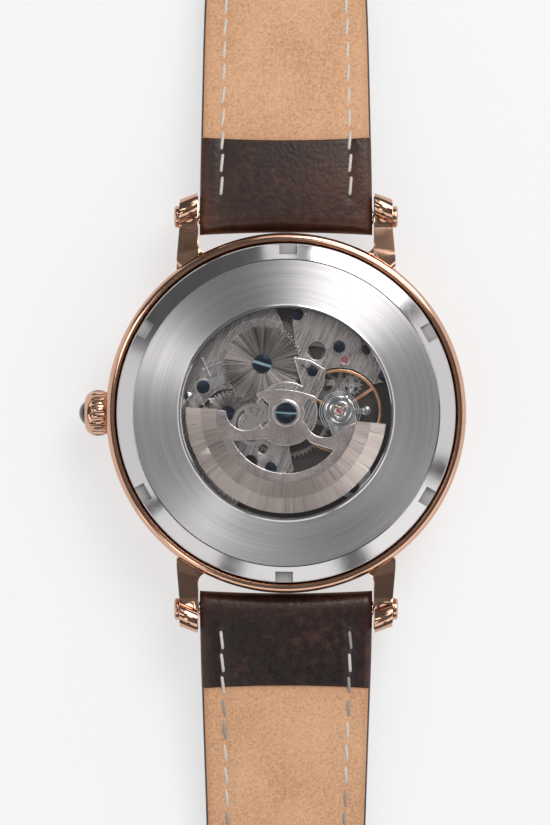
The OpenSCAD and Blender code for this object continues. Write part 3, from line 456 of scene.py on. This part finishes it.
def finish_node(name, node):
    """Gives a node its finish, and a small bevel along its edges; on some nodes the bevel faces get
    a lighter copy of the finish, a painted highlight.
    """
    node.data.materials.clear()
    node.data.materials.append(FINISH[name])
    width = BEVEL.get(name)
    if not width:
        return
    weld = node.modifiers.new("weld", "WELD")
    weld.merge_threshold = 0.001 * MM
    edge = node.modifiers.new("edge", "BEVEL")
    edge.width = width * MM
    edge.segments = 2
    edge.limit_method = "ANGLE"
    edge.angle_limit = math.radians(35)
    for face in node.data.polygons:
        face.use_smooth = True
    crisp = node.modifiers.new("crisp", "EDGE_SPLIT")
    crisp.split_angle = math.radians(40)
    shading = node.modifiers.new("shading", "WEIGHTED_NORMAL")
    shading.mode = "FACE_AREA_WITH_ANGLE"
    shading.keep_sharp = False
    # Painted highlight: the bevel faces take the lighter material
    if name in PAINTED_HIGHLIGHT_EDGES:
        node.data.materials.append(PAINTED_HIGHLIGHT_EDGES[name])
        edge.material = 1


def paint_faces(name, material, chosen):
    """Gives the faces whose centre and normal, in millimetres, are chosen another material."""
    mesh = nodes[name].data
    mesh.materials.append(material)
    slot = len(mesh.materials) - 1
    for face in mesh.polygons:
        if chosen(face.center / MM, face.normal):
            face.material_index = slot


def out(c, center=(0, 0)):
    """Distance of a point from a vertical axis."""
    return math.hypot(c.x - center[0], c.y - center[1])


for node_name in FINISH:
    finish_node(node_name, nodes[node_name])
paint_faces("case_back", steel_polished, lambda c, n: not WINDOW_R < out(c) < BRUSHED_R)
paint_faces("case_back", steel_matt,
            lambda c, n: n.z > 0.95 and c.z < NOTCH_FLOOR_Z and out(c) > NOTCH_R)
# Notch walls: painted shade
paint_faces("case_back", steel_painted_shade, lambda c, n: abs(n.z) < 0.3 and NOTCH_R < out(c) < BACK_RIM_R)
paint_faces("rotor_weight", band_rayed, lambda c, n: n.z > 0.9 and c.z < BAND_Z)
# Slot floors of the blued screws: painted highlight
paint_faces("ratchet_screw", slot_painted_highlight, lambda c, n: n.z > 0.9 and c.z < RATCHET_SLOT_Z)
paint_faces("rotor_screw", slot_painted_highlight, lambda c, n: n.z > 0.9 and c.z < ROTOR_SLOT_Z)
paint_faces("movement_screws", steel_polished, lambda c, n: out(c, STEEL_SCREW) < 1)


# ---- mesh helpers ----
def make_piece(name, mesh, materials, body, slot, *replaced):
    """Links a finished mesh as a piece that rides on a body."""
    piece = bpy.data.objects.new(name, mesh)
    bpy.context.scene.collection.objects.link(piece)
    for material in materials:
        mesh.materials.append(material)
    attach(piece, body)
    if replaced:
        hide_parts(*replaced)
    return piece


def mesh_from(name, bm, smooth=True):
    """Turns a bmesh into a mesh whose faces all look outwards."""
    bmesh.ops.recalc_face_normals(bm, faces=bm.faces)
    mesh = bpy.data.meshes.new(name)
    bm.to_mesh(mesh)
    bm.free()
    for polygon in mesh.polygons:
        polygon.use_smooth = smooth
    return mesh


def tube(bm, path, radius, sides=6, flat=1.0, material=0):
    """A closed tube along a path of points in millimetres; flat scales its height."""
    rings = []
    for i, point in enumerate(path):
        before, after = path[max(i - 1, 0)], path[min(i + 1, len(path) - 1)]
        along = (Vector(after) - Vector(before)).normalized()
        side = along.cross(Vector((0, 0, 1)))
        if side.length < 0.01:
            side = Vector((1, 0, 0))
        side.normalize()
        up = side.cross(along).normalized()
        ring = []
        for k in range(sides):
            turn = 2 * math.pi * k / sides
            offset = side * math.cos(turn) * radius + up * math.sin(turn) * radius * flat
            ring.append(bm.verts.new((Vector(point) + offset) * MM))
        rings.append(ring)
    faces = []
    for low, high in zip(rings, rings[1:]):
        for k in range(sides):
            after = (k + 1) % sides
            faces.append(bm.faces.new((low[k], low[after], high[after], high[k])))
    faces.append(bm.faces.new(rings[0][::-1]))
    faces.append(bm.faces.new(rings[-1]))
    for face in faces:
        face.material_index = material


# ---- small parts of the balance's shock setting ----
def shock_spring():
    """A three-lobed wire spring over the balance's jewel."""
    bm = bmesh.new()
    steps, z = 72, 8.36
    path = []
    for i in range(steps + 1):
        turn = 2 * math.pi * i / steps
        r = 0.66 + 0.26 * math.cos(3 * turn)
        path.append((BALANCE[0] + r * math.cos(turn + 0.4),
                     BALANCE[1] + r * math.sin(turn + 0.4), z))
    tube(bm, path, 0.055, 6)
    make_piece("shock_spring", mesh_from("shock_spring", bm), [gold_wire], "case", "spring_steel")


def shock_jewel():
    """The low domed cap jewel in the middle of the setting."""
    bm = bmesh.new()
    rings, sides, r, base = 5, 20, 0.34, 8.2
    previous = None
    for i in range(rings):
        rise = math.pi / 2 * i / rings
        ring = []
        for k in range(sides):
            turn = 2 * math.pi * k / sides
            ring.append(bm.verts.new(Vector((
                BALANCE[0] + r * math.cos(rise) * math.cos(turn),
                BALANCE[1] + r * math.cos(rise) * math.sin(turn),
                base + 0.16 * math.sin(rise))) * MM))
        if previous:
            for k in range(sides):
                after = (k + 1) % sides
                bm.faces.new((previous[k], previous[after], ring[after], ring[k]))
        else:
            bm.faces.new(ring[::-1])
        previous = ring
    bm.faces.new(previous)
    make_piece("shock_jewel", mesh_from("shock_jewel", bm), [ruby], "case", "ruby")


gold_wire = polished("gold_wire", (0.80, 0.62, 0.42), 0.15, 0.05)
shock_spring()
shock_jewel()


# ---- straps ----
def ease(u):
    """A smooth step from 0 to 1."""
    u = min(max(u, 0.0), 1.0)
    return u * u * (3 - 2 * u)


class Strap:
    """One strap: its length, side, height over the floor and half width along its length."""

    def __init__(self, name, length, side, floor, widths, round_tip):
        self.name, self.length, self.side, self.floor = name, length, side, floor
        self.widths, self.round_tip = widths, round_tip

    def half(self, s):
        """Half width, smoothed over a few millimetres and rounded at the tip."""
        reach, count = 5.0, 9
        total = 0.0
        for i in range(count):
            at = s + reach * (2 * i / (count - 1) - 1)
            total += self._linear(at)
        half = total / count
        if self.round_tip:
            tip_r = self.widths[-1][1]
            past = s - (self.length - tip_r)
            if past > 0:
                half = min(half, math.sqrt(max(tip_r ** 2 - past ** 2, 0.04)))
        return half

    def _linear(self, s):
        """Half width straight between the given places."""
        for (s0, w0), (s1, w1) in zip(self.widths, self.widths[1:]):
            if s <= s1:
                return w0 + (w1 - w0) * min(max((s - s0) / (s1 - s0), 0), 1)
        return self.widths[-1][1]

    def mid(self, s):
        """Height of the strap's middle: level with its bar, then down to the floor."""
        base = self.floor + STRAP_T / 2
        return base + (BAR_Z - base) * (1 - ease(s / DROOP_LEN))

    def thick(self, s):
        """Thickness: fuller near the lugs, and round where the strap wraps a bar."""
        full = STRAP_T + (STRAP_T_LUG - STRAP_T) * (1 - ease(s / LUG_TAPER_LEN))
        if s < 0:
            full = 2 * math.sqrt(max(STRAP_END_R ** 2 - s ** 2, 0.0025))
        if not self.round_tip and s > self.length:
            full = 2 * math.sqrt(max(BUCKLE_END_R ** 2 - (s - self.length) ** 2, 0.0025))
        return full

    def point(self, s, x, z):
        """A point on the strap; the folded end curves towards the case at its corners."""
        curl = FOLD_CURL * (x / LUG_HALF_W) ** 2 * (1 - ease((s + 1.5) / 3))
        return Vector((x, self.side * (BAR_Y + s - curl), z))

    def top(self, s, x):
        """Height of the lining side at a place, dipping at the edges and along the stitches."""
        step = 0.0 if s < self.tab_edge(x) else LINING_SINK
        return self.mid(s) + self.thick(s) / 2 - step - self.dip(s, x)

    def bottom(self, s, x):
        """Height of the dress side, which faces the floor."""
        return self.mid(s) - self.thick(s) / 2 + self.dip(s, x)

    def tab_edge(self, x):
        """Where the turned-over tab ends, a little further out at its sides."""
        return TAB_END + TAB_BOW * (x / 9.5) ** 2

    def dip(self, s, x):
        """How far the surface sinks at its round edges, in the stitch groove, off the padding."""
        inset = self.half(s) - abs(x)
        round_r = min(EDGE_R, self.thick(s) / 2)
        edge = max(round_r - inset, 0)
        fall = round_r - math.sqrt(max(round_r ** 2 - edge ** 2, 0))
        groove = 0.0
        if 1.5 < s < self.length - 3:
            groove = GROOVE_DEPTH * math.exp(-((inset - STITCH_INSET) / GROOVE_HALF_W) ** 2)
        padded = ease((s + STRAP_END_R) / 2.5) * (1 - ease((s - 20) / 30))
        return fall * 0.8 + groove + PADDING * (x / self.half(s)) ** 2 * padded

    def stations(self, start, end, step):
        """Even distances along the strap, about a step apart."""
        count = max(int(round((end - start) / step)), 1)
        return [start + (end - start) * i / count for i in range(count + 1)]


def columns(half):
    """Places across a strap, closer together near its edges and its stitch lines."""
    share = min(1.0, half / 4.5)
    left = [-half + inset * share for inset in EDGE_COLUMNS]
    inner = -left[-1]
    middle = [-inner + 2 * inner * i / 10 for i in range(1, 10)]
    return left + middle + [-x for x in reversed(left)]


def slab(name, strap, stations, top, bottom, inset=0.0, wear_and_sheen_of=None):
    """A closed strap-shaped slab between two height functions of (distance, x)."""
    bm = bmesh.new()
    wear_and_sheen = bm.verts.layers.float.new("wear_and_sheen")
    rings = []
    for s in stations:
        half = strap.half(s) - inset
        across = columns(half)
        upper = [bm.verts.new(strap.point(s, x, top(s, x)) * MM) for x in across]
        lower = [bm.verts.new(strap.point(s, x, bottom(s, x)) * MM) for x in across]
        if wear_and_sheen_of:
            for x, vert in list(zip(across, upper)) + list(zip(across, lower)):
                vert[wear_and_sheen] = wear_and_sheen_of(s, x, half)
        rings.append((upper, lower))
    for (up0, low0), (up1, low1) in zip(rings, rings[1:]):
        for i in range(len(up0) - 1):
            bm.faces.new((up0[i], up0[i + 1], up1[i + 1], up1[i]))
            bm.faces.new((low0[i], low1[i], low1[i + 1], low0[i + 1]))
        bm.faces.new((up0[0], up1[0], low1[0], low0[0]))
        bm.faces.new((up0[-1], low0[-1], low1[-1], up1[-1]))
    for upper, lower in (rings[0], rings[-1]):
        for i in range(len(upper) - 1):
            bm.faces.new((upper[i], lower[i], lower[i + 1], upper[i + 1]))
    return mesh_from(name, bm)


def outer_wear_and_sheen(strap):
    """More rubbing at the folded end and along the edges; on the upper strap also rubbed spots near
    the fold at both sides, and painted sheen: a lighter tone all over and a painted highlight on
    one side of the tab.
    """
    def wear_and_sheen_of(s, x, half):
        edge = math.exp(-((half - abs(x)) / 0.8) ** 2)
        fold = math.exp(-((s + 1.0) / 1.6) ** 2)
        sheen_and_wear_patch = 0.0
        # Upper strap only: painted sheen, a lighter tone all over and a painted highlight on the
        # tab's right side, plus rubbed spots near the fold at both sides
        if strap.side > 0:
            sheen_and_wear_patch = 0.12 + 0.4 * math.exp(-((x - 5.5) / 4.0) ** 2 - ((s - 4.0) / 3.5) ** 2)
            sheen_and_wear_patch += 0.35 * math.exp(-((abs(x) - 8.6) / 1.2) ** 2 - (s / 3.5) ** 2)
        return min(1.0, 0.4 * edge + 0.22 * fold + sheen_and_wear_patch)
    return wear_and_sheen_of


def lining_wear(s, x, half):
    """Soiling along the lining's edges, and a darker band beside the tab's edge."""
    edge = 0.5 * math.exp(-((half - abs(x)) / 0.5) ** 2)
    near_tab = 0.35 * math.exp(-((s - TAB_END) / 0.8) ** 2)
    return min(1.0, edge + near_tab)


leather = leather_outer()
lining = leather_lining()
thread = thread_material("thread", (0.84, 0.78, 0.70))
thread_grey = thread_material("thread_grey", (0.42, 0.38, 0.35))
# Dark discs at the stitch ends: painted shade in the stitch holes
painted_hole_shade = moulded("stitch_hole_painted_shade", (0.05, 0.028, 0.018), 0.8, 0.1)


def punch(piece, holes, radius, stretch=0.0):
    """Cuts round holes straight down at points in millimetres; stretch makes slots along +Y."""
    bm = bmesh.new()
    for x, y in holes:
        made = bmesh.ops.create_cone(bm, cap_ends=True, segments=24, radius1=radius * MM,
                                     radius2=radius * MM, depth=12 * MM)
        for vert in made["verts"]:
            if vert.co.y > 0:
                vert.co.y += stretch * MM
        bmesh.ops.translate(bm, verts=made["verts"], vec=Vector((x, y, 2)) * MM)
    cutter = bpy.data.objects.new("cutter", mesh_from("cutter", bm, False))
    bpy.context.scene.collection.objects.link(cutter)
    cut = piece.modifiers.new("holes", "BOOLEAN")
    cut.object = cutter
    cut.solver = "EXACT"
    bpy.context.view_layer.update()
    graph = bpy.context.evaluated_depsgraph_get()
    piece.data = bpy.data.meshes.new_from_object(piece.evaluated_get(graph))
    piece.modifiers.clear()
    bpy.data.objects.remove(cutter)


def strap_leather(strap, body):
    """The dress leather: it faces down, wraps the bar and comes back as a short tab."""
    skive = 0.25
    tip = strap.length if strap.round_tip else strap.length + BUCKLE_END_R - 0.01
    fine = [-1.795, -1.76, -1.7, -1.6, -1.45, -1.2, -0.9, -0.5]
    stations = fine + strap.stations(0, TAB_END - 1.2, 0.5)
    stations += strap.stations(TAB_END - 0.8, TAB_END + 0.8, 0.08)
    stations += strap.stations(TAB_END + 1.3, tip - 1.4, 1.0) + strap.stations(tip - 1.2, tip, 0.15)

    def top(s, x):
        full = strap.mid(s) + strap.thick(s) / 2 - strap.dip(s, x)
        down = ease((s - strap.tab_edge(x) + skive / 2) / skive)
        return full - down * min(0.55, strap.thick(s) * 0.4)

    mesh = slab(strap.name + "_leather", strap, stations, top, strap.bottom, wear_and_sheen_of=outer_wear_and_sheen(strap))
    return make_piece(mesh.name, mesh, [leather], body, "strap_leather", strap.name)


def strap_lining(strap, body):
    """The tan lining, let into the leather from the tab to near the strap's end."""
    tip = strap.length - 0.25 if strap.round_tip else strap.length - BUCKLE_FOLD
    stations = strap.stations(TAB_END - 0.7, tip - 1.2, 0.8) + strap.stations(tip - 1, tip, 0.2)

    def top(s, x):
        return strap.mid(s) + strap.thick(s) / 2 - LINING_SINK - 0.7 * strap.dip(s, x)

    def bottom(s, x):
        return top(s, x) - LINING_T + 0.15

    mesh = slab(strap.name + "_lining", strap, stations, top, bottom, 0.22, lining_wear)
    return make_piece(mesh.name, mesh, [lining], body, "strap_lining")


def stitch_runs(strap):
    """Places of the stitch ends along both edges, from the bar to the strap's end."""
    end = strap.length - (12 if strap.round_tip else BUCKLE_FOLD + 2)
    count = int((end - STITCH_START) / STITCH_PITCH)
    for x_side in (-1, 1):
        for i in range(count):
            s = STITCH_START + STITCH_PITCH * i
            yield x_side, s, s + STITCH_PITCH


def strap_stitches(strap, body):
    """Stitches of twisted thread along both edges of both sides, with a dark disc at each end as
    painted shade in the stitch hole.
    """
    rng = random.Random(7 if strap.side > 0 else 11)
    bm = bmesh.new()
    sink, lift = 0.28, 0.09
    for x_side, start, end in stitch_runs(strap):
        for height, outward in ((strap.top, 1), (strap.bottom, -1)):
            gap = 0.22 + 0.06 * rng.random()
            slant = 0.07 + 0.06 * rng.random()
            path = []
            for share, rise in ((0, -sink), (0.06, 0.0), (0.25, lift), (0.5, lift * 1.3),
                                (0.75, lift), (0.94, 0.0), (1, -sink)):
                s = start + gap + (end - start - 2 * gap) * share
                x = x_side * (strap.half(s) - STITCH_INSET) + slant * (share - 0.5) * 2
                path.append(strap.point(s, x, height(s, x) + outward * rise))
            grey = strap.side < 0 and rng.random() < 0.45
            tube(bm, path, STITCH_R, 6, 0.75, 1 if grey else 0)
            # A dark disc just above the surface at each stitch's start: painted shade in its hole
            x = x_side * (strap.half(start) - STITCH_INSET)
            ring = []
            for k in range(10):
                turn = 2 * math.pi * k / 10
                s, across = start + 0.3 * math.sin(turn), x + 0.22 * math.cos(turn)
                z = height(s, across) + outward * 0.012
                ring.append(bm.verts.new(strap.point(s, across, z) * MM))
            bm.faces.new(ring).material_index = 2
    mesh = mesh_from(strap.name + "_stitches", bm)
    return make_piece(mesh.name, mesh, [thread, thread_grey, painted_hole_shade], body, "thread")


strap_12 = Strap("strap_12", 75, 1, 0.6, [
    (-3, LUG_HALF_W), (2, LUG_HALF_W), (24, 9.4), (47, 8.02), (90, 8)], False)
strap_6 = Strap("strap_6", 115, -1, 0, [
    (-3, LUG_HALF_W), (2, LUG_HALF_W), (24, 9.15), (57, 8.02), (107, 8)], True)
for strap in (strap_12, strap_6):
    pieces = [strap_leather(strap, strap.name), strap_lining(strap, strap.name)]
    if strap.round_tip:
        first = BAR_Y + strap.length - FIRST_HOLE
        holes = [(0, -(first - HOLE_PITCH * i)) for i in range(HOLE_COUNT)]
        for piece in pieces:
            punch(piece, holes, HOLE_R)
    else:
        punch(pieces[0], [(0, TONGUE_SLOT_Y + TONGUE_SLOT_R)], TONGUE_SLOT_R, 8)
    strap_stitches(strap, strap.name)


# ---- keepers ----
def keeper(name, body):
    """A leather loop: a flat band with soft edges round a rounded rectangle."""
    low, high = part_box(name)
    low, high = low / MM, high / MM
    wall, bend, width = 0.55, 1.0, high.y - low.y
    half_x, half_z = (high.x - low.x) / 2, (high.z - low.z) / 2
    middle = (low + high) / 2
    corners = []
    for corner, (sx, sz) in enumerate(((1, 1), (-1, 1), (-1, -1), (1, -1))):
        for k in range(7):
            turn = math.radians(90 * corner + 15 * k)
            corners.append((sx * (half_x - bend), sz * (half_z - bend),
                            math.cos(turn), math.sin(turn)))
    bm = bmesh.new()
    wear_and_sheen = bm.verts.layers.float.new("wear_and_sheen")
    edge = [(-width / 2, 0.15), (-width / 2 + 0.05, 0.05), (-width / 2 + 0.2, 0.0),
            (-width / 2 + 0.7, 0.03), (-width / 2 + 0.9, 0.0), (0, -0.03)]
    outer = edge + [(-y, d) for y, d in reversed(edge[:-1])]
    loop = [(y, bend - d) for y, d in outer] + [(-y, bend - wall + d) for y, d in outer]
    rings = []
    for cx, cz, ux, uz in corners:
        ring = []
        for y, r in loop:
            place_mm = middle + Vector((cx + ux * r, y, cz + uz * r))
            vert = bm.verts.new(place_mm * MM)
            vert[wear_and_sheen] = 0.4 * math.exp(-((width / 2 - abs(y)) / 0.4) ** 2)
            ring.append(vert)
        rings.append(ring)
    for ring, following in zip(rings, rings[1:] + rings[:1]):
        for k in range(len(ring)):
            after = (k + 1) % len(ring)
            bm.faces.new((ring[k], ring[after], following[after], following[k]))
    mesh = mesh_from(name + "_loop", bm)
    return make_piece(mesh.name, mesh, [leather], body, "strap_leather", name)


keeper("fixed_keeper", "strap_12")
keeper("free_keeper", "free_keeper")


# ---- stage ----
# In millimetres: just under the lowest stitches, and the view's height and middle
FLOOR_Z = -0.12
VIEW_HEIGHT = 93.75
VIEW_CENTER = (-1.26, 0.05)


def floor():
    """A wide pale floor."""
    mesh = bpy.data.meshes.new("floor")
    reach, level = 2.0, FLOOR_Z * MM
    mesh.from_pydata([(-reach, -reach, level), (reach, -reach, level), (reach, reach, level),
                      (-reach, reach, level)], [], [(0, 1, 2, 3)])
    piece = bpy.data.objects.new("floor", mesh)
    bpy.context.scene.collection.objects.link(piece)
    material, _, _ = new_material("floor_pale", (0.35, 0.35, 0.35), 0.0, 0.9,
                                  Emission_Color=(1, 1, 1, 1), Emission_Strength=0.62)
    mesh.materials.append(material)


def softbox(name, azimuth, elevation, distance, width, height, radiance):
    """An area light that looks at the watch from a direction in degrees."""
    light = bpy.data.lights.new(name, "AREA")
    light.shape = "RECTANGLE"
    light.size, light.size_y = width, height
    light.energy = radiance * math.pi * width * height
    lamp = bpy.data.objects.new(name, light)
    bpy.context.scene.collection.objects.link(lamp)
    turn, rise = math.radians(azimuth), math.radians(elevation)
    lamp.location = Vector((math.cos(turn) * math.cos(rise), math.sin(turn) * math.cos(rise),
                            math.sin(rise))) * distance
    lamp.rotation_euler = (-lamp.location).to_track_quat("-Z", "Y").to_euler()
    lamp.visible_camera = False


def camera():
    """Straight above the case back, from far enough that the view is nearly parallel."""
    sensor, distance = 36.0, 0.62
    data = bpy.data.cameras.new("camera")
    data.sensor_width = sensor
    data.lens = sensor * distance / (VIEW_HEIGHT * MM)
    data.clip_start, data.clip_end = 0.01, 10
    shot = bpy.data.objects.new("camera", data)
    shot.location = (VIEW_CENTER[0] * MM, VIEW_CENTER[1] * MM, distance + 9 * MM)
    bpy.context.scene.collection.objects.link(shot)
    bpy.context.scene.camera = shot


floor()
camera()
# Name, azimuth, elevation, distance, width, height, radiance
for lamp_facts in (
    ("overhead", 0, 90, 1.2, 0.6, 0.6, 0.08),
    ("key", 62, 48, 1.0, 0.5, 0.5, 5.5),
    ("key_high", 60, 72, 1.0, 0.2, 0.2, 3.0),
    ("second", 154, 70, 1.0, 0.12, 0.3, 3.2),
    ("third", 234, 66, 1.0, 0.1, 0.2, 2.9),
    ("rim_right", 0, 14, 1.0, 1.0, 0.25, 1.6),
    ("rim_left", 200, 14, 1.0, 0.5, 0.25, 1.4),
    ("rim_upper_left", 145, 14, 1.0, 0.4, 0.25, 1.2),
    ("top", 92, 47, 1.0, 0.16, 0.4, 1.1),
    ("left", 185, 46, 1.0, 0.8, 0.45, 0.85),
    ("low_left", 232, 46, 1.0, 0.4, 0.45, 1.0),
    ("low", 272, 46, 1.0, 0.5, 0.45, 1.1),
    ("low_right", 318, 46, 1.0, 0.5, 0.45, 1.25),
    ("right", 10, 46, 1.0, 0.75, 0.45, 0.9),
):
    softbox(*lamp_facts)
world = bpy.data.worlds.new("studio")
world.use_nodes = True
background = world.node_tree.nodes["Background"]
background.inputs["Color"].default_value = (1, 1, 1, 1)
background.inputs["Strength"].default_value = 0.12
bpy.context.scene.world = world
bpy.context.scene.view_settings.view_transform = "Standard"
